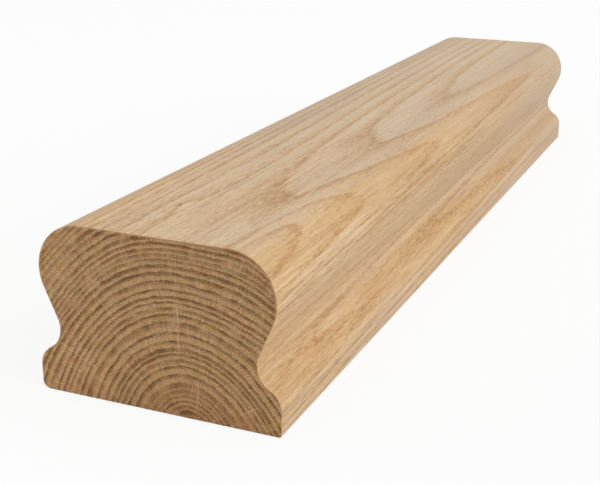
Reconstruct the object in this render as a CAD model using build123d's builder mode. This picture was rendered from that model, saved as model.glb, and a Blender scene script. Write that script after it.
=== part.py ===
from build123d import *
from math import acos, cos, degrees, radians, sin
import os

# A straight length of solid wooden handrail, planed and moulded from one piece of timber.
# Its section has a broad rounded grip on top, a finger cove down each side and a foot below.
# X runs across the rail, Y along it and Z up, and the origin is the middle of the underside.
# Lengths are in millimetres and angles in degrees.

# Overall sizes
base_width = 65.0           # over the upright sides of the foot, the widest part
height = 44.0               # flat underside to flat top
rail_length = 320.0         # from one sawn end to the other

# Moulded section, alike on both sides
grip_setback = 1.1          # side of the grip, in from the side of the foot
cove_depth = 5.0            # bottom of the finger cove, in from the side of the grip
cove_radius = 6.4
cove_height = 16.9          # middle of the cove, above the underside
neck_angle = 23.6           # flat neck between the grip and the cove, off the vertical
foot_radius = 5.5           # rounded shoulder of the foot

# Worn and sanded edges
left_arris_radius = 2.1     # long edge of the underside at -X
right_arris_radius = 0.6    # long edge of the underside at +X
end_bevel = 0.3             # edge all round each sawn end

# Going down, the neck leans in by neck_lean and drops by neck_drop for each unit of its length.
neck_lean = sin(radians(neck_angle))
neck_drop = cos(radians(neck_angle))

# The grip's round is the one arc that touches the flat top, the grip's side and the neck,
# and the neck is as long as the straight between that arc and the cove.
cove_offset = cove_radius - cove_depth
grip_reach = neck_drop * cove_offset + neck_lean * (height - cove_height) - cove_radius
grip_radius = grip_reach / (1 + neck_lean - neck_drop)
neck_length = ((grip_radius + cove_radius) * neck_drop - grip_radius - cove_offset) / neck_lean

# The cove turns over into the foot's shoulder with no straight between them: the line
# through both arc centres stands at shoulder_turn above the horizontal.
ogee_radii = cove_radius + foot_radius
shoulder_turn = degrees(acos((ogee_radii - grip_setback - cove_depth) / ogee_radii))

with BuildPart() as handrail:
    with BuildSketch(Plane.XZ) as section:
        with BuildLine() as outline:
            top = Line((0, height), (base_width / 2 - grip_setback - grip_radius, height))
            grip = JernArc(top @ 1, top % 1, grip_radius, -(90 + neck_angle))
            neck = PolarLine(grip @ 1, neck_length, direction=grip % 1)
            cove = JernArc(neck @ 1, neck % 1, cove_radius, neck_angle + shoulder_turn)
            shoulder = JernArc(cove @ 1, cove % 1, foot_radius, -shoulder_turn)
            foot_side = Line(shoulder @ 1, (base_width / 2, 0))
            underside = Line(foot_side @ 1, (0, 0))
            mirror(about=Plane.YZ)
        make_face()
        fillet(section.vertices().group_by(Axis.Y)[0].sort_by(Axis.X)[0], left_arris_radius)
        fillet(section.vertices().group_by(Axis.Y)[0].sort_by(Axis.X)[-1], right_arris_radius)
    extrude(amount=rail_length / 2, both=True)
    chamfer(handrail.faces().filter_by(Axis.Y).edges(), end_bevel)

handrail.part.label = "handrail"

os.makedirs("parts", exist_ok=True)
export_step(handrail.part, "parts/handrail.step")
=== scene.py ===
from math import hypot, pi, radians, sin
from types import SimpleNamespace

import bpy
from mathutils import Matrix, Vector


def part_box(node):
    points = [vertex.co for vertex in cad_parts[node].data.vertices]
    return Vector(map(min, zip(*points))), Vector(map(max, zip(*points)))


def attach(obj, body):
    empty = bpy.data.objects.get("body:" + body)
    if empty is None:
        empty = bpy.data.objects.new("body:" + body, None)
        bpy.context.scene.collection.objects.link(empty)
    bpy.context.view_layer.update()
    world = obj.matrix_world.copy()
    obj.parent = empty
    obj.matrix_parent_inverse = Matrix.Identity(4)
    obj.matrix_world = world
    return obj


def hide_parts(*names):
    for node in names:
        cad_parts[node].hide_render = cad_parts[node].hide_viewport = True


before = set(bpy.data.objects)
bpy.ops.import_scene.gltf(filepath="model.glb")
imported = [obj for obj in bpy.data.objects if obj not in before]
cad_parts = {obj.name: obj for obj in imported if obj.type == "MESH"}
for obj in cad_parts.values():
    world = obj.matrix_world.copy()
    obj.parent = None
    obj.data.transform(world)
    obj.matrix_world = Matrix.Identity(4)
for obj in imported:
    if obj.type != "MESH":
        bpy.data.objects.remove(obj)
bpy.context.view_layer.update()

bl_info = {
    "name": "Wooden Handrail",
    "version": (1, 0, 0),
    "blender": (4, 5, 0),
    "location": "3D View > Sidebar > Handrail",
    "description": "Builds a moulded length of solid oak handrail and a plain studio round it",
    "category": "Add Mesh",
}

MM = 0.001
LOW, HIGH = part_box("handrail")
# The rail's overall sizes in millimetres, and the side of its grip, in from the side of the foot.
WIDTH, LENGTH, HEIGHT = ((high - low) / MM for low, high in zip(LOW, HIGH))
GRIP_SETBACK = 1.1


def linear(red, green, blue):
    """A colour written as it looks on screen, 0 to 255, as the linear colour that shaders take."""
    def channel(value):
        value /= 255
        return value / 12.92 if value <= 0.04045 else ((value + 0.055) / 1.055) ** 2.4
    return channel(red), channel(green), channel(blue)


def length(name, description, millimetres):
    return bpy.props.FloatProperty(
        name=name, description=description, default=millimetres * MM, min=0, precision=4,
        subtype="DISTANCE", unit="LENGTH")


def figure(name, description, default):
    return bpy.props.FloatProperty(name=name, description=description, default=default)


def colour(name, description, screen):
    return bpy.props.FloatVectorProperty(
        name=name, description=description, default=linear(*screen), size=3, min=0, max=1,
        subtype="COLOR")


class RailSizes(bpy.types.PropertyGroup):
    rail_length: length("Length", "From one sawn end to the other", LENGTH)
    base_width: length("Base Width", "Over the upright sides of the foot", WIDTH)
    height: length("Height", "Flat underside to flat top", HEIGHT)
    grip_setback: length("Grip Setback", "Side of the grip, in from the side of the foot", GRIP_SETBACK)
    cove_depth: length("Cove Depth", "Bottom of the finger cove, in from the side of the grip", 5.0)
    cove_radius: length("Cove Radius", "Radius of the finger cove", 6.4)
    cove_height: length("Cove Height", "Middle of the cove, above the underside", 16.9)
    neck_angle: bpy.props.FloatProperty(
        name="Neck Angle", description="Flat neck between grip and cove, off the vertical",
        default=radians(23.6), subtype="ANGLE", unit="ROTATION")
    foot_radius: length("Foot Radius", "Rounded shoulder of the foot", 5.5)
    left_arris: length("Left Arris", "Long edge of the underside at -X", 2.1)
    right_arris: length("Right Arris", "Long edge of the underside at +X", 0.6)
    end_bevel: length("End Bevel", "Edge all round each sawn end", 0.3)


class RailGrowth(bpy.types.PropertyGroup):
    """How the tree grew, in millimetres from the near end's lower middle."""
    pith_x: figure("Pith Across", "Heart of the tree at the near end, right of the middle", 9.08)
    pith_z: figure("Pith Height", "Heart of the tree at the near end, above the underside", -4.43)
    pith_drift: figure("Pith Drift", "How far the heart moves to the right along the rail", 1.42)
    pith_drift_run: figure("Drift Run", "Length over which the heart makes most of its drift", 78)
    pith_rise: figure("Pith Rise", "Climb of the heart per metre at the near end", 26.5)
    pith_sag: figure("Pith Sag", "How much of the climb is lost per metre squared", 41)
    rib: figure("Rib", "How far the rings bulge at the tree's rib", 4.83)
    rib_x: figure("Rib Across", "Where the rib stands, right of the middle", 24.7)
    rib_width: figure("Rib Width", "Half width of the rib", 10.5)
    hollow: figure("Hollow", "How far the rings dip in the hollow beside the rib", 1.63)
    hollow_x: figure("Hollow Across", "Where the hollow lies, right of the middle", -2.86)
    hollow_width: figure("Hollow Width", "Half width of the hollow", 11.8)
    hollow_run: figure("Hollow Run", "Length from the near end over which the hollow forms", 45.9)
    lobe: figure("Lobes", "How far the rings are from round, as a share of their radius", 0.141)
    ring_width: figure("Ring Width", "One year's growth", 1.603)
    ring_start: figure("Ring Start", "Radius at which one of the rings begins", 46.74)
    ring_swing: figure("Ring Swing", "How much good and poor years differ", 0.3)
    good_years: figure("Good Years", "Growth from one run of good years to the next", 11.84)
    slow_swing: figure("Slow Swing", "How much the growth changes over the tree's life", 0.594)
    slow_years: figure("Slow Years", "Growth over which the slow swing comes round again", 51.3)
    seed: figure("Seed", "Picks another piece of the same wood", 3.0)


class RailFinish(bpy.types.PropertyGroup):
    late_wood: colour("Late Wood", "Dense pale part of each ring, along the grain", (209, 181, 147))
    early_wood: colour("Early Wood", "Open dark part of each ring, along the grain", (197, 154, 104))
    ring_line: colour("Ring Line", "Darkest line of each ring, along the grain", (176, 131, 84))
    honey: colour("Honey", "Warm tone of the sides", (206, 163, 107))
    pale_fibre: colour("Pale Fibre", "Palest fibres, along the grain", (232, 208, 174))
    pore: colour("Pore", "Inside of the open pores", (146, 102, 58))
    sallow_strip: colour("Sallow Strip", "Tint of some strips along the grain", (251, 251, 236))
    rosy_strip: colour("Rosy Strip", "Tint of the strips between them", (255, 246, 244))
    knot: colour("Pin Knot", "Heart of the tiny knot on top", (104, 78, 56))
    end_early: colour("End Early Wood", "Pale part of each ring, on the sawn ends", (209, 167, 118))
    end_late: colour("End Late Wood", "Dark part of each ring, on the sawn ends", (152, 111, 68))
    end_line: colour("End Line", "Darkest line of each ring, on the sawn ends", (118, 81, 42))
    ray: colour("Ray", "Pale rays across the rings", (226, 192, 148))
    sallow_patch: colour("Sallow Patch", "Tint of some patches on the sawn ends", (228, 224, 184))
    rosy_patch: colour("Rosy Patch", "Tint of the other patches and round the heart", (240, 214, 204))
    saw_burn: colour("Saw Burn", "Tint of the slight burn that the saw leaves", (230, 190, 154))
    roughness: bpy.props.FloatProperty(
        name="Roughness", description="Sheen of the satin finish", default=0.5, min=0, max=1)


class StudioSettings(bpy.types.PropertyGroup):
    camera_place: bpy.props.FloatVectorProperty(
        name="Camera Place", description="Where the camera stands", size=3,
        default=(0.12661, -0.36923, 0.12578), subtype="TRANSLATION", unit="LENGTH")
    camera_turn: bpy.props.FloatVectorProperty(
        name="Camera Turn", description="Turn, tilt down and roll of the camera", size=3,
        default=(radians(23.225), radians(18.893), radians(0.306)),
        subtype="EULER", unit="ROTATION")
    camera_lens: bpy.props.FloatProperty(
        name="Lens", description="Focal length on a 36 mm sensor", default=67.75, unit="CAMERA")
    floor_colour: colour("Floor", "Plain pale floor", (246, 246, 245))
    daylight: bpy.props.FloatProperty(
        name="Daylight", description="Even light from all round", default=0.5, min=0)
    key_light: bpy.props.FloatProperty(
        name="Key Light", description="Large soft light overhead", default=4.3, unit="POWER")
    side_light: bpy.props.FloatProperty(
        name="Side Light", description="Large soft light on the right", default=9, unit="POWER")


class Value:
    """A number that runs through a node tree, so that maths on it is written as maths."""

    def __init__(self, nodes, socket):
        self.nodes, self.socket = nodes, socket

    def maths(self, operation, *others):
        values = dict(enumerate((self, *others)))
        found = self.nodes.add("ShaderNodeMath", {"operation": operation}, values)
        return Value(self.nodes, found.outputs[0])

    def __add__(self, other):
        return self.maths("ADD", other)

    def __sub__(self, other):
        return self.maths("SUBTRACT", other)

    def __mul__(self, other):
        return self.maths("MULTIPLY", other)

    def __truediv__(self, other):
        return self.maths("DIVIDE", other)

    def __neg__(self):
        return self.maths("MULTIPLY", -1.0)

    def __rsub__(self, other):
        return self.nodes.number(other).maths("SUBTRACT", self)

    __radd__, __rmul__ = __add__, __mul__

    def sin(self):
        return self.maths("SINE")

    def cos(self):
        return self.maths("COSINE")

    def exp(self):
        return self.maths("EXPONENT")

    def root(self):
        return self.maths("SQRT")

    def size(self):
        """The number without its sign."""
        return self.maths("ABSOLUTE")

    def whole(self):
        return self.maths("FLOOR")

    def part(self):
        return self.maths("FRACT")

    def least(self, other):
        return self.maths("MINIMUM", other)

    def most(self, other):
        return self.maths("MAXIMUM", other)

    def direction(self, other):
        """The angle from the way that other runs, towards the way that this number runs."""
        return self.maths("ARCTAN2", other)

    def bell(self):
        """1 at 0, falling away evenly to 0 on both sides."""
        return (self * self * -1).exp()

    def step(self, start, end):
        """0 up to start, 1 from end on, and a smooth rise between them."""
        found = self.nodes.add("ShaderNodeMapRange", {"interpolation_type": "SMOOTHSTEP"},
                               {"Value": self, "From Min": start, "From Max": end})
        return Value(self.nodes, found.outputs["Result"])


def rgba(colour_or_socket):
    """What a colour socket takes: a link as it is, or a colour with its alpha."""
    if isinstance(colour_or_socket, bpy.types.NodeSocket):
        return colour_or_socket
    return (*colour_or_socket, 1.0)


class Nodes:
    """Adds nodes to one tree."""

    def __init__(self, tree):
        self.tree = tree

    def add(self, kind, settings=None, values=None):
        node = self.tree.nodes.new(kind)
        for name, setting in (settings or {}).items():
            setattr(node, name, setting)
        for slot, value in (values or {}).items():
            value = value.socket if isinstance(value, Value) else value
            if isinstance(value, bpy.types.NodeSocket):
                self.tree.links.new(value, node.inputs[slot])
            else:
                node.inputs[slot].default_value = value
        return node

    def number(self, value):
        found = self.add("ShaderNodeMath", {"operation": "ADD"}, {0: value, 1: 0.0})
        return Value(self, found.outputs[0])

    def vector(self, x, y, z):
        return self.add("ShaderNodeCombineXYZ", None, {0: x, 1: y, 2: z}).outputs[0]

    def blend(self, mask, first, second, mode="MIX"):
        """first where the mask is 0 and second where it is 1, for colours."""
        return self.add("ShaderNodeMix", {"data_type": "RGBA", "blend_type": mode},
                        {0: mask, 6: rgba(first), 7: rgba(second)}).outputs[2]

    def tint(self, mask, base, tone):
        """base multiplied by a tone, as strongly as the mask says."""
        return self.blend(mask, base, tone, "MULTIPLY")

    def noise(self, place, detail=2.0, rough=0.5):
        """Soft noise, from about -1 to 1."""
        found = self.add("ShaderNodeTexNoise", {"noise_dimensions": "3D"},
                         {"Vector": place, "Scale": 1.0, "Detail": detail, "Roughness": rough})
        return Value(self, found.outputs[0]) * 2.0 - 1.0

    def chance(self, place):
        """An even random number from 0 to 1 for each place."""
        found = self.add("ShaderNodeTexWhiteNoise", {"noise_dimensions": "1D"}, {"W": place})
        return Value(self, found.outputs["Value"])


# The moulded section and the rail

def corner_points(size):
    """The corners that the section's arcs round off, going down the right side, and the arcs' radii."""
    lean, drop = size["Neck Angle"].sin(), size["Neck Angle"].cos()
    side, top = size["Base Width"] / 2, size["Height"]
    cove_offset = size["Cove Radius"] - size["Cove Depth"]
    grip_reach = drop * cove_offset + lean * (top - size["Cove Height"]) - size["Cove Radius"]
    grip_radius = grip_reach / (1 + lean - drop)
    grip_x = side - size["Grip Setback"]
    # The cove's centre, and the tangent that the cove and the foot's shoulder share.
    cove_x = grip_x + cove_offset
    radii = size["Cove Radius"] + size["Foot Radius"]
    turn_cos = (radii - size["Grip Setback"] - size["Cove Depth"]) / radii
    turn_sin = (1 - turn_cos * turn_cos).root()
    inflection_x = cove_x - size["Cove Radius"] * turn_cos
    inflection_z = size["Cove Height"] - size["Cove Radius"] * turn_sin
    # The neck's line, through the point where it leaves the grip's arc.
    neck_x = grip_x - grip_radius + grip_radius * drop
    neck_z = top - grip_radius - grip_radius * lean
    shoulder_x = neck_x + (top - neck_z) * lean / drop
    # Where the neck's line meets the shared tangent, which runs by (turn_sin, -turn_cos).
    across, down = inflection_x - neck_x, neck_z - inflection_z
    run = (across * drop + down * lean) / (turn_sin * drop + turn_cos * lean)
    waist_x, waist_z = inflection_x - run * turn_sin, inflection_z + run * turn_cos
    foot_z = inflection_z - (side - inflection_x) * turn_cos / turn_sin
    points = [(shoulder_x, top), (waist_x, waist_z), (side, foot_z), (side, 0.0)]
    return points, [grip_radius, size["Cove Radius"], size["Foot Radius"]]


# The moulding's inputs, each with the size that sets it.
MOULDING_INPUTS = {
    "Length": "rail_length", "Base Width": "base_width", "Height": "height",
    "Grip Setback": "grip_setback", "Cove Depth": "cove_depth", "Cove Radius": "cove_radius",
    "Cove Height": "cove_height", "Neck Angle": "neck_angle", "Foot Radius": "foot_radius",
    "Left Arris": "left_arris", "Right Arris": "right_arris"}
# Points added round the grip, the cove, the foot's shoulder and the arris.
ARC_STEPS = (44, 26, 22, 9)


def rail_tree(long_grain, sawn_end):
    """Geometry nodes that sweep the moulded section along the rail, from its named sizes."""
    tree = bpy.data.node_groups.new("Handrail Moulding", "GeometryNodeTree")
    for name in MOULDING_INPUTS:
        tree.interface.new_socket(name, in_out="INPUT", socket_type="NodeSocketFloat")
    tree.interface.new_socket("Rail", in_out="OUTPUT", socket_type="NodeSocketGeometry")
    g = Nodes(tree)
    start = g.add("NodeGroupInput")
    size = {name: Value(g, start.outputs[name]) for name in MOULDING_INPUTS}
    points, radii = corner_points(size)
    right = [*zip(points, (*radii, size["Right Arris"]), ARC_STEPS)]
    left = [((-x, z), radius, steps)
            for (x, z), radius, steps in zip(points, (*radii, size["Left Arris"]), ARC_STEPS)]
    outline = [*right, *reversed(left)]

    index = g.add("GeometryNodeInputIndex").outputs[0]

    def by_corner(data_type, items):
        """One item for each corner of the outline, picked by the corner's index."""
        switch = g.add("GeometryNodeIndexSwitch", {"data_type": data_type})
        while len(switch.index_switch_items) < len(items):
            switch.index_switch_items.new()
        tree.links.new(index, switch.inputs[0])
        for slot, item in enumerate(items, 1):
            item = item.socket if isinstance(item, Value) else item
            if isinstance(item, bpy.types.NodeSocket):
                tree.links.new(item, switch.inputs[slot])
            else:
                switch.inputs[slot].default_value = item
        return switch.outputs[0]

    line = g.add("GeometryNodeMeshLine", {"mode": "OFFSET"}, {"Count": len(outline)})
    chain = g.add("GeometryNodeMeshToCurve", None, {0: line.outputs[0]})
    places = by_corner("VECTOR", [g.vector(x, -z, 0.0) for (x, z), _, _ in outline])
    placed = g.add("GeometryNodeSetPosition", None, {
        "Geometry": chain.outputs[0], "Position": places})
    closed = g.add("GeometryNodeSetSplineCyclic", None, {
        "Geometry": placed.outputs[0], "Cyclic": True})
    rounded = g.add("GeometryNodeFilletCurve", {"mode": "POLY"}, {
        "Curve": closed.outputs[0],
        "Radius": by_corner("FLOAT", [radius for _, radius, _ in outline]),
        "Count": by_corner("INT", [steps for _, _, steps in outline])})
    path = g.add("GeometryNodeCurvePrimitiveLine", {"mode": "POINTS"}, {
        "Start": g.vector(0.0, size["Length"] / -2, 0.0),
        "End": g.vector(0.0, size["Length"] / 2, 0.0)})
    swept = g.add("GeometryNodeCurveToMesh", None, {
        "Curve": path.outputs[0], "Profile Curve": rounded.outputs[0], "Fill Caps": True})
    real = g.add("GeometryNodeRealizeInstances", None, {0: swept.outputs[0]})
    normal = g.add("ShaderNodeSeparateXYZ", None, {0: g.add("GeometryNodeInputNormal").outputs[0]})
    sawn = Value(g, normal.outputs[1]).size().maths("GREATER_THAN", 0.7)
    grained = g.add("GeometryNodeSetMaterial", None, {
        "Geometry": real.outputs[0], "Material": long_grain})
    ended = g.add("GeometryNodeSetMaterial", None, {
        "Geometry": grained.outputs[0], "Selection": sawn, "Material": sawn_end})
    g.add("NodeGroupOutput", None, {0: ended.outputs[0]})
    return tree


# Oak. Its lengths are in millimetres from the near end's lower middle: x across, y along and z up.

# The round of the grip, as the section's sizes give it: its radius and its middle.
GRIP_RADIUS = 11.84
GRIP_X = WIDTH / 2 - GRIP_SETBACK - GRIP_RADIUS
GRIP_Z = HEIGHT - GRIP_RADIUS
# Where the tiny knot lies on top.
KNOT_X, KNOT_Y = -6, 25
# The ring at which the tree's lobes and rib are measured, about as far out as the rail's top.
OUTER_RING = 46
# Enough years to keep their count above 0 all through the rail.
YEARS_BEFORE = 100
# Sectors of a sawn end for each radian round the heart, with one place for a ray in each.
RAY_SECTORS = 15
# Rays that stand out on the sawn ends: each one's outer and inner tip, across and up.
LONG_RAYS = (
    ((6.4, 31), (6.2, 15)), ((-18, 30), (-10, 21)), ((-28, 14), (-16, 8)),
    ((11.5, 11), (10.5, 1)), ((27, 6.6), (21, 3)))


def place_of(g):
    """Where a point lies in the wood, from the piece's own coordinates."""
    coords = g.add("ShaderNodeTexCoord").outputs["Object"]
    scaled = g.add("ShaderNodeVectorMath", {"operation": "MULTIPLY_ADD"}, {
        0: coords, 1: (1 / MM,) * 3, 2: (0.0, LENGTH / 2, 0.0)})
    parts = g.add("ShaderNodeSeparateXYZ", None, {0: scaled.outputs[0]})
    return [Value(g, socket) for socket in parts.outputs]


def growth(g, tree, sawn):
    """The wood at a point: its place, its distance from the heart, its ring and its grain."""
    x, y, z = place_of(g)

    def grain(across, along, detail=2.0, shift=0.0):
        """Noise drawn out along the rail. Each shift picks another pattern."""
        return g.noise(g.vector(x / across + shift, y / along + tree.seed, z / across), detail)

    pith_x = tree.pith_x + tree.pith_drift * (1 - (y / -tree.pith_drift_run).exp())
    pith_z = tree.pith_z + y * (tree.pith_rise / 1000) - y * y * (tree.pith_sag / 1e6)
    dx, dz = x - pith_x, z - pith_z
    radius = (dx * dx + dz * dz).root()
    share = radius / OUTER_RING
    # Lobes keep the rings from being round, by the angle from straight up and its double and triple.
    up, over = dz / radius, dx / radius
    up_double, over_double = up * up * 2 - 1, up * over * 2
    up_triple = up * (up_double * 2 - 1)
    lobes = up_double + over_double * 0.922 - up_triple * 1.021 - over * 0.39
    rib = ((x - tree.rib_x) / tree.rib_width).bell() * tree.rib * share * share
    formed = 1 - (y / tree.hollow_run).bell()
    raised = z / HEIGHT
    hollow_shape = ((x - tree.hollow_x) / tree.hollow_width).bell() * raised * raised
    hollow = hollow_shape * formed * tree.hollow
    knot_swell = ((x - KNOT_X) / 2.6).bell() * ((y - KNOT_Y) / 8).bell() * 0.7
    broad_waver, fine_waver = grain(11, 110), grain(2.8, 50, shift=7.0)
    waver = broad_waver * 0.16 + fine_waver * 0.16 + grain(0.9, 16, shift=3.0) * 0.05
    trunk = radius + radius * share * lobes * tree.lobe - rib + hollow - knot_swell + waver
    angle = dx.direction(dz)
    if sawn:
        # The rings run out flatter under the right shoulder.
        lean = (x - 18.5).most(0)
        trunk -= lean * lean * z.step(12, 22) * 0.025
        trunk += g.noise(g.vector(angle * 11, radius / 3, 3.0), 1.0, 0.5) * 0.32
        trunk += g.noise(g.vector(x / 0.4, z / 0.4, 8.0), 1.0) * 0.14
    else:
        # A small swelling in the right shoulder, near the end, shows there as a closed tongue.
        bend = x - GRIP_X
        below_top = (z + bend * bend / (2 * GRIP_RADIUS) - HEIGHT) / 4.5
        swell = ((x - 24.2) / 3.8).bell() * (y / 45).bell() * below_top.exp()
        trunk += swell * 2.5
    # Rings are not all as wide: growth swings from good to poor years, and over the tree's life.
    out = trunk - tree.ring_start
    swing, swing_lead = 2 * pi / tree.good_years, 1.28
    slow, slow_lag = 2 * pi / tree.slow_years, 0.45
    years = (out / tree.ring_width
             + ((out * swing + swing_lead).sin() - sin(swing_lead)) * tree.ring_swing
             + ((out * slow - slow_lag).sin() + sin(slow_lag)) * tree.slow_swing + YEARS_BEFORE)
    ring = years.whole()
    return SimpleNamespace(
        x=x, y=y, z=z, grain=grain, radius=radius, angle=angle, age=years.part(),
        luck=g.chance(ring + 0.5), shade=g.chance(ring + 31.5), clouds=grain(6, 40, 2.0, 17.0))


def long_ray(g, wood, outer, inner):
    """1 along a thin line between two points of the section and 0 off it."""
    (from_x, from_z), (to_x, to_z) = outer, inner
    run = hypot(to_x - from_x, to_z - from_z)
    run_x, run_z = (to_x - from_x) / run, (to_z - from_z) / run
    out, rise = wood.x - from_x, wood.z - from_z
    along = out * run_x + rise * run_z
    wander = g.noise(g.vector(along / 3, from_x, 0.0), 0.0) * 0.12
    aside = (out * run_z - rise * run_x + wander).size()
    return (1 - aside.step(0.04, 0.2)) * along.step(0, 1.5) * (1 - along.step(run - 1.5, run))


def rays(g, wood, heart):
    """Rays that run out from the heart, thin and pale, each over a part of the way."""
    radius, angle = wood.radius, wood.angle
    spoke = angle * RAY_SECTORS + g.noise(g.vector(radius / 4, angle * 4, 0.0), 1.0) * 0.5
    beam = spoke.whole()
    aside = (spoke.part() - 0.5).size() * radius / RAY_SECTORS
    reach = g.noise(g.vector(beam * 7.3, radius / 8, beam * 3.1), 0.0)
    seen = (reach + heart * 0.22).step(0.24, 0.42) * (0.7 + heart * 0.25)
    found = (1 - aside.step(0.04, 0.16)) * seen
    for outer, inner in LONG_RAYS:
        found = found.most(long_ray(g, wood, outer, inner))
    return found


def sawn_look(g, wood, finish):
    """Oak sawn across: pale early wood, dark late wood, rays, and the marks that the saw leaves."""
    x, y, z, age, luck = wood.x, wood.y, wood.z, wood.age, wood.luck
    hatch = g.noise(g.vector(wood.angle * 75, wood.radius * 0.25, y / 12), 1.0, 0.6)
    speck = g.noise(g.vector(x / 0.32, y / 4, z / 0.32), 1.0, 0.5)
    patch = wood.grain(5.2, 30, 1.0, 41.0)
    fade = wood.grain(3.2, 30, 1.0, 53.0)
    heart = 1 - wood.radius.step(7, 18)
    # Early wood starts sharply and late wood is a darker band. In the upper left both are fainter.
    calm = 1 - x.step(-14, -26) * z.step(20, 32) * 0.45
    lag = age + hatch * 0.12 + speck * 0.18
    ring_end = 1 - lag.step(0.94, 1.0)
    start = 0.14 + luck * 0.34 - heart * 0.12
    late = lag.step(start, start + 0.3) * (0.5 + wood.shade * 0.45 + fade * 0.9) * ring_end * calm
    base = g.blend(late.most(0), finish.end_early, finish.end_late)
    rim = lag.step(0.68, 0.84) * (0.17 + luck * 0.5 + fade * 0.9) * (1 - heart * 0.6) * ring_end * calm
    base = g.blend(rim.most(0).least(1), base, finish.end_line)
    pits = speck.step(0.14, 0.44)
    base = g.blend(pits * 0.4, base, finish.end_line)
    base = g.blend(rays(g, wood, heart) * (0.75 + speck * 0.6), base, finish.ray)
    base = g.tint(patch.step(0.0, 0.5) * 0.6, base, finish.sallow_patch)
    base = g.tint((patch.step(0.0, -0.5) * 0.6).most(heart * 0.35), base, finish.rosy_patch)
    # The saw burns the face a little just inside its upper edge, and the edge itself is paler.
    out, rise = (x.size() - GRIP_X).most(0), (z - GRIP_Z).most(0)
    inside = GRIP_RADIUS - (out * out + rise * rise).root()
    upper = z.step(24, 36)
    base = g.blend((1 - inside.step(0.1, 0.9)) * upper * 0.4, base, finish.ray)
    burn_band = inside.step(0.1, 0.6) * (1 - inside.step(0.7, 1.9)) * upper
    burn = burn_band * (0.3 + patch * 1.6 + late * 0.3)
    base = g.tint(burn.most(0).least(1), base, finish.saw_burn)
    # The face is brighter low down and on the left, most at the foot's left.
    foot_left = x.step(-6, -16) * z.step(20, 10)
    tone = (0.936 + hatch * 0.36 - speck * 0.72 + wood.clouds * 0.1 - x / 700 - (z - 18) / 560
            + foot_left * 0.075)
    rough = 0.66 - late * 0.06
    grip = pits * -0.5 - late * 0.2 + hatch * 0.2
    return SimpleNamespace(base=base, tone=tone, rough=rough, grip=grip, depth=0.06)


def stretches(wood):
    """Parts of the rail's outside, each 1 inside it and 0 outside."""
    across, y, z = wood.x.size(), wood.y, wood.z
    side = across.step(24, 30)
    shoulder = across.step(17, 22) * z.step(36, 40)
    neck = side * z.step(14, 20) * (1 - shoulder)
    return SimpleNamespace(
        side=side, shoulder=shoulder, neck=neck, grip_side=side * z.step(22, 30), top=z.step(42, 43),
        near=1 - y.step(40, 90), far=y.step(120, 310))


def warmth(wood, on):
    """How honey-coloured the wood is: most on the shoulders, the foot's edges and the near rim."""
    x, y, z, across = wood.x, wood.y, wood.z, wood.x.size()
    foot = ((z - 11) / 4).bell() * across.step(26, 29) * (0.75 + on.far * 0.35)
    pale_run = ((y - 195) / 55).bell()
    shoulder = ((z - 40.5) / 4).bell() * across.step(19, 23) * (0.42 - pale_run * 0.35)
    flank = across.step(22, 28) * z.step(5, 14) * 0.34
    near_rim = (1 - y.step(0.3, 2.6)) * 0.7
    midway = on.side * y.step(60, 120) * (1 - on.far) * (0.3 + on.grip_side * 0.15)
    near_left = x.step(-6, -18) * (1 - y.step(20, 110)) * 0.35
    broad = wood.grain(16, 90, 1.0, 29.0)
    return ((foot + shoulder + flank) * (1 - on.far * 0.5) + near_rim + midway + near_left
            + (100 - y) / 500 + broad * 0.6 + wood.clouds * 0.3)


def darkening_and_neck_highlight(wood, on):
    """How much darker the wood is painted in places, as a share of its brightness. Near the near end
    the neck is painted brighter instead: a painted highlight.
    """
    x, y, z = wood.x, wood.y, wood.z
    # The grip's sides darken soon behind the near end, and the foot further on.
    darkening = (y - (32 - z).most(0) * 7).step(30, 100) * x.size().step(10, 19) * 0.06
    # The shoulders are a little darker towards both ends, and near the near end the neck is brighter, a
    # painted highlight.
    darkening += on.shoulder * y.step(210, 260) * 0.045
    darkening += (on.shoulder - on.neck) * on.near * 0.03
    # On top, the left half dulls midway, and the middle is brighter near the end.
    left = x.step(-3, -11) * y.step(60, 120) * (1 - y.step(140, 220) * 0.7)
    middle = (1 - (x - 2).size().step(3, 9)) * (1 - y.step(22, 45))
    return darkening + on.top * (left * 0.055 - middle * 0.035)


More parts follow.
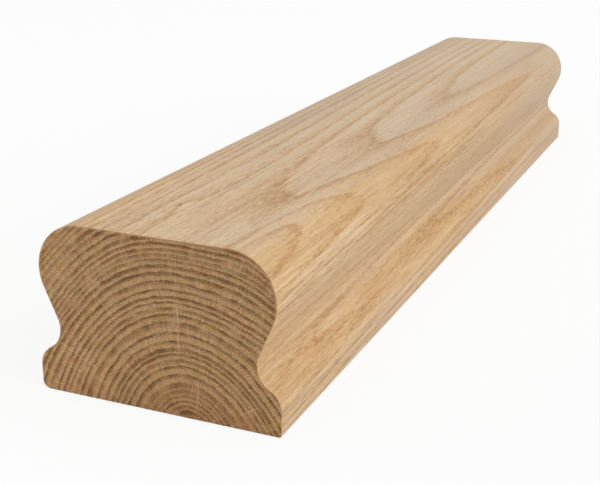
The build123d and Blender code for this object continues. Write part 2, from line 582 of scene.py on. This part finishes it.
def long_grain_look(g, wood, finish):
    """Oak planed along the grain: fine dark ring lines, open pores and fibres."""
    x, y, z, age, luck = wood.x, wood.y, wood.z, wood.age, wood.luck
    grain, clouds, on = wood.grain, wood.clouds, stretches(wood)
    strands, streaks = grain(1.0, 30, 2.0, 23.0), grain(2.2, 80, 1.0, 37.0)
    flecks, vessels = grain(0.5, 2.2, 1.0, 71.0), grain(0.42, 4, 1.0, 11.0)
    # The fibres run on where the cut goes towards the heart, as on the sides, and end soon on top.
    short_fibres = grain(0.36, 6, 1.0, 5.0)
    fibres = short_fibres + (grain(0.36, 12, 1.0, 61.0) - short_fibres) * on.side
    # Early wood is a fine dark line with a fringe that thins outwards, fainter far along.
    nearer = 1 - y / 760
    fringe = age - fibres * 0.1 - flecks * 0.12 - strands * 0.12
    early = (1 - fringe.step(0.05, 0.55 + luck * 0.25)).most(age.step(0.9, 1.0))
    line = (1 - fringe.step(0.02, 0.13 + on.grip_side * 0.15)).most(age.step(0.97, 1.0)) * nearer
    base = g.blend(early * nearer * (0.36 + wood.shade * 0.24), finish.late_wood, finish.early_wood)
    strong = 0.22 + luck * 0.5 + on.grip_side * (0.2 - on.far * 0.4)
    base = g.blend(line * strong, base, finish.ring_line)
    base = g.blend(warmth(wood, on).step(-0.2, 1) * 0.7, base, finish.honey)
    # Open pores, sawn along: thin dark dashes, close together in early wood and scattered elsewhere.
    pores = (vessels + early * 0.44 - 0.42).step(0.0, 0.22)
    base = g.blend(pores * (0.44 - on.far * 0.2 - on.shoulder * 0.12), base, finish.pore)
    base = g.tint(clouds.step(0.0, 0.5) * 0.5, base, finish.sallow_strip)
    base = g.tint(clouds.step(0.0, -0.5) * 0.5, base, finish.rosy_strip)
    # Each fibre is a little paler or darker than its neighbours.
    lively = (1.2 - y / 420) * (1 + on.grip_side * (0.1 - on.far * 0.35) - on.shoulder * 0.3)
    fine = fibres * (on.side * 0.05 + 0.2) + flecks * (0.17 - on.side * 0.06) + strands * 0.16
    stir = (fine + streaks * (on.side * 0.03 + 0.12)) * lively + clouds * 0.06
    base = g.blend(stir.most(0) * 2.6, base, finish.pale_fibre)
    base = g.blend(stir.least(0) * -2.5, base, finish.pore)
    # The pin knot's dark heart lies a little left of the swelling round it.
    pin_x, pin_y = (x - KNOT_X + 0.2) / 0.4, (y - KNOT_Y) / 1.1
    pin = (1 - (pin_x * pin_x + pin_y * pin_y).root().step(0.4, 1.5)) * z.step(40, 41)
    base = g.blend(pin * 0.85, base, finish.knot)
    # Darker far along and in places, with a painted highlight on the neck near the near end.
    tone = 1.0 + (luck - 0.5) * 0.03 - y / 4600 - darkening_and_neck_highlight(wood, on)
    rough = finish.roughness + early * 0.08 - luck * 0.03
    grip = pores * -0.7 + fibres * 0.2
    return SimpleNamespace(base=base, tone=tone, rough=rough, grip=grip, depth=0.03)


def oak(name, tree, finish, sawn):
    """Solid oak. One tree runs through the whole rail.

    So the rings on the ends meet those on the sides, except under the right shoulder.
    """
    material = bpy.data.materials.new(name)
    material.use_nodes = True
    material.node_tree.nodes.clear()
    g = Nodes(material.node_tree)
    wood = growth(g, tree, sawn)
    look = sawn_look(g, wood, finish) if sawn else long_grain_look(g, wood, finish)
    toned = g.add("ShaderNodeVectorMath", {"operation": "SCALE"}, {0: look.base, "Scale": look.tone})
    bump = g.add("ShaderNodeBump", None, {
        "Strength": 0.5, "Distance": look.depth * MM, "Height": look.grip})
    surface = g.add("ShaderNodeBsdfPrincipled", None, {
        "Base Color": toned.outputs[0], "Roughness": look.rough, "Normal": bump.outputs[0],
        "Specular IOR Level": 0.3})
    g.add("ShaderNodeOutputMaterial", None, {"Surface": surface.outputs[0]})
    return material


def ready(context, names):
    """The scene's settings, or an error if the add-on hasn't been registered."""
    missing = [name for name in names if not hasattr(context.scene, name)]
    if missing:
        raise RuntimeError(f"the scene has no {missing}: register the add-on first")
    return [getattr(context.scene, name) for name in names]


class HANDRAIL_OT_rail(bpy.types.Operator):
    """Build the moulded oak rail in place of the plain one"""
    bl_idname = "handrail.rail"
    bl_label = "Oak Rail"

    def execute(self, context):
        sizes, tree, finish = ready(context, ("rail_sizes", "rail_growth", "rail_finish"))
        long_grain = oak("Oak Long Grain", tree, finish, sawn=False)
        sawn_end = oak("Oak Sawn End", tree, finish, sawn=True)
        moulding = rail_tree(long_grain, sawn_end)
        blank = bpy.data.objects.new("rail_blank", bpy.data.meshes.new("rail_blank"))
        context.scene.collection.objects.link(blank)
        sweep = blank.modifiers.new("Moulding", "NODES")
        sweep.node_group = moulding
        for item in moulding.interface.items_tree:
            if item.in_out == "INPUT":
                sweep[item.identifier] = getattr(sizes, MOULDING_INPUTS[item.name])
        bevel = blank.modifiers.new("Sawn Edges", "BEVEL")
        bevel.width, bevel.segments, bevel.limit_method = sizes.end_bevel, 2, "ANGLE"
        bevel.angle_limit = radians(50)
        evaluated = blank.evaluated_get(context.evaluated_depsgraph_get())
        mesh = bpy.data.meshes.new_from_object(evaluated)
        mesh.name = "oak_rail"
        rail = bpy.data.objects.new("oak_rail", mesh)
        context.scene.collection.objects.link(rail)
        bpy.data.objects.remove(blank)
        if len(mesh.polygons) < 2 * sum(ARC_STEPS):
            raise RuntimeError("the moulding's nodes made no rail")
        # The edge round each sawn end is sanded with the sides and takes their finish.
        for face in mesh.polygons:
            if abs(face.normal.y) < 0.99:
                face.use_smooth = True
                face.material_index = mesh.materials.find(long_grain.name)
            else:
                face.use_smooth = False
        mesh.set_sharp_from_angle(angle=radians(14))
        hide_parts("handrail")
        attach(rail, "root")
        return {"FINISHED"}


# The studio, in metres

FLOOR_REACH = 6.0
# How much of the floor's own colour gives way to plain white, where it is seen.
FLOOR_GLOW = 0.88
SENSOR_WIDTH = 36


def seen_rays(g):
    """1 where the surface is seen, straight on, mirrored or through something, and 0 elsewhere."""
    path = g.add("ShaderNodeLightPath")
    camera, glossy, passed = (Value(g, path.outputs[f"Is {kind} Ray"])
                              for kind in ("Camera", "Glossy", "Transmission"))
    return camera.most(glossy).most(passed)


class HANDRAIL_OT_studio(bpy.types.Operator):
    """Set up the pale floor, the soft lights and the camera"""
    bl_idname = "handrail.studio"
    bl_label = "Studio"

    def floor(self, context, studio):
        """A floor that looks white to the camera and still takes the rail's soft shadow."""
        material = bpy.data.materials.new("Pale Floor")
        material.use_nodes = True
        material.node_tree.nodes.clear()
        g = Nodes(material.node_tree)
        mottle = g.noise(g.add("ShaderNodeTexCoord").outputs["Object"])
        paint = g.tint(0.04, studio.floor_colour, g.blend(mottle, (1, 1, 1), (0.9, 0.9, 0.9)))
        matte = g.add("ShaderNodeBsdfDiffuse", None, {"Color": paint, "Roughness": 1.0})
        glow = g.add("ShaderNodeEmission", None, {"Color": (1, 1, 1, 1), "Strength": 1.0})
        mixed = g.add("ShaderNodeMixShader", None, {
            0: seen_rays(g) * FLOOR_GLOW, 1: matte.outputs[0], 2: glow.outputs[0]})
        g.add("ShaderNodeOutputMaterial", None, {"Surface": mixed.outputs[0]})
        square = ((-1, -1), (1, -1), (1, 1), (-1, 1))
        corners = [(x * FLOOR_REACH, y * FLOOR_REACH, 0) for x, y in square]
        mesh = bpy.data.meshes.new("floor")
        mesh.from_pydata(corners, [], [(0, 1, 2, 3)])
        floor = bpy.data.objects.new("floor", mesh)
        floor.data.materials.append(material)
        context.scene.collection.objects.link(floor)

    def room(self, context, studio):
        """White walls all round, which give less light than they show."""
        world = bpy.data.worlds.new("White Room")
        world.use_nodes = True
        world.node_tree.nodes.clear()
        g = Nodes(world.node_tree)
        strength = studio.daylight + seen_rays(g) * (1 - studio.daylight)
        white = g.add("ShaderNodeBackground", None, {"Color": (1, 1, 1, 1), "Strength": strength})
        g.add("ShaderNodeOutputWorld", None, {"Surface": white.outputs[0]})
        context.scene.world = world

    def softbox(self, context, name, power, width, place, aim):
        """A square soft light that stands at one place and points at another."""
        light = bpy.data.lights.new(name, "AREA")
        light.energy, light.shape, light.size = power, "SQUARE", width
        lamp = bpy.data.objects.new(name, light)
        lamp.location = place
        lamp.rotation_mode = "QUATERNION"
        lamp.rotation_quaternion = (Vector(aim) - Vector(place)).to_track_quat("-Z", "Y")
        context.scene.collection.objects.link(lamp)

    def camera(self, context, studio):
        """The camera, which looks down along the rail from the front right."""
        lens = bpy.data.cameras.new("camera")
        lens.sensor_width, lens.lens = SENSOR_WIDTH, studio.camera_lens
        lens.clip_start, lens.clip_end = 0.01, 50
        camera = bpy.data.objects.new("camera", lens)
        turn, tilt, roll = studio.camera_turn
        camera.matrix_world = (Matrix.Translation(studio.camera_place) @ Matrix.Rotation(turn, 4, "Z")
                               @ Matrix.Rotation(pi / 2 - tilt, 4, "X") @ Matrix.Rotation(roll, 4, "Z"))
        context.scene.collection.objects.link(camera)
        context.scene.camera = camera

    def execute(self, context):
        studio, = ready(context, ("rail_studio",))
        self.floor(context, studio)
        self.room(context, studio)
        self.softbox(context, "overhead", studio.key_light,
                     width=1.4, place=(-0.25, 0.1, 1.3), aim=(0, 0, 0))
        self.softbox(context, "side", studio.side_light,
                     width=1.0, place=(1.1, 0.0, 0.7), aim=(0, 0, 0.02))
        self.camera(context, studio)
        context.scene.view_settings.view_transform = "Standard"
        return {"FINISHED"}


# The add-on

class HANDRAIL_PT_panel(bpy.types.Panel):
    """Sizes, finish and studio of the handrail"""
    bl_idname = "HANDRAIL_PT_panel"
    bl_label = "Handrail"
    bl_space_type = "VIEW_3D"
    bl_region_type = "UI"
    bl_category = "Handrail"

    def draw(self, context):
        for operator, groups in ((HANDRAIL_OT_rail, ("rail_sizes", "rail_growth", "rail_finish")),
                                 (HANDRAIL_OT_studio, ("rail_studio",))):
            box = self.layout.box()
            box.operator(operator.bl_idname)
            for name in groups:
                settings = getattr(context.scene, name)
                for key in settings.__annotations__:
                    box.prop(settings, key)


GROUPS = {"rail_sizes": RailSizes, "rail_growth": RailGrowth, "rail_finish": RailFinish,
          "rail_studio": StudioSettings}
CLASSES = (*GROUPS.values(), HANDRAIL_OT_rail, HANDRAIL_OT_studio, HANDRAIL_PT_panel)


def register():
    for item in CLASSES:
        bpy.utils.register_class(item)
    for name, group in GROUPS.items():
        setattr(bpy.types.Scene, name, bpy.props.PointerProperty(type=group))


def unregister():
    for name in GROUPS:
        delattr(bpy.types.Scene, name)
    for item in reversed(CLASSES):
        bpy.utils.unregister_class(item)


def main():
    register()
    bpy.ops.handrail.studio()
    bpy.ops.handrail.rail()


if __name__ == "__main__":
    main()
